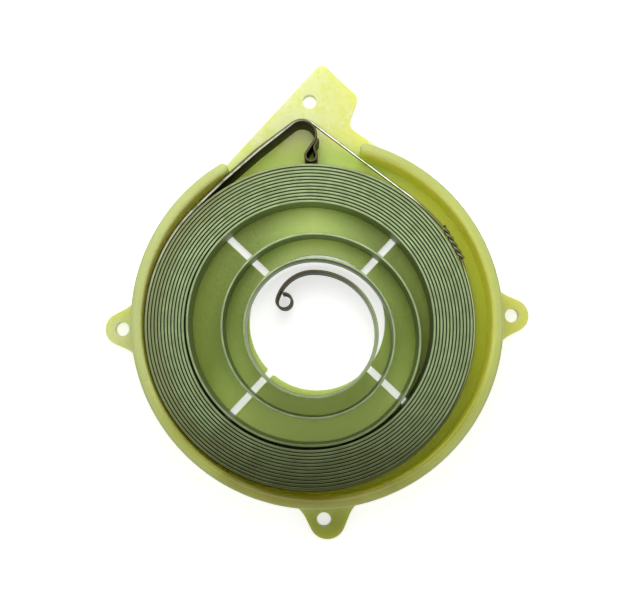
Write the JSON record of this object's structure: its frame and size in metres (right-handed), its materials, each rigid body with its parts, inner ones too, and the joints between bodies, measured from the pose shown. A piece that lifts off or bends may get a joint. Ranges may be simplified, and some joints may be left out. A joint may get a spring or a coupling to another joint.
{
  "type": "recoil starter spring cassette",
  "caption": "Spiral steel power spring wound on edge in a shallow moulded housing with screw ears, held closed by a thin wire.",
  "frame": {"origin": "on the housing's axis, on its flat underside", "axes": "+Z out of the open side of the housing, +Y towards the tab, +X through a side ear"},
  "size_m": [0.1272, 0.1429, 0.013],
  "materials": {
    "natural_nylon": "natural translucent nylon with a soft mould texture",
    "spring_steel": "bright rolled strip, dark where its two ends were heated",
    "steel_wire": "bright drawn wire"
  },
  "bodies": {
    "root": {"spring_housing": "natural_nylon", "power_spring": "spring_steel", "retaining_wire": "steel_wire"}
  },
  "joints": []
}
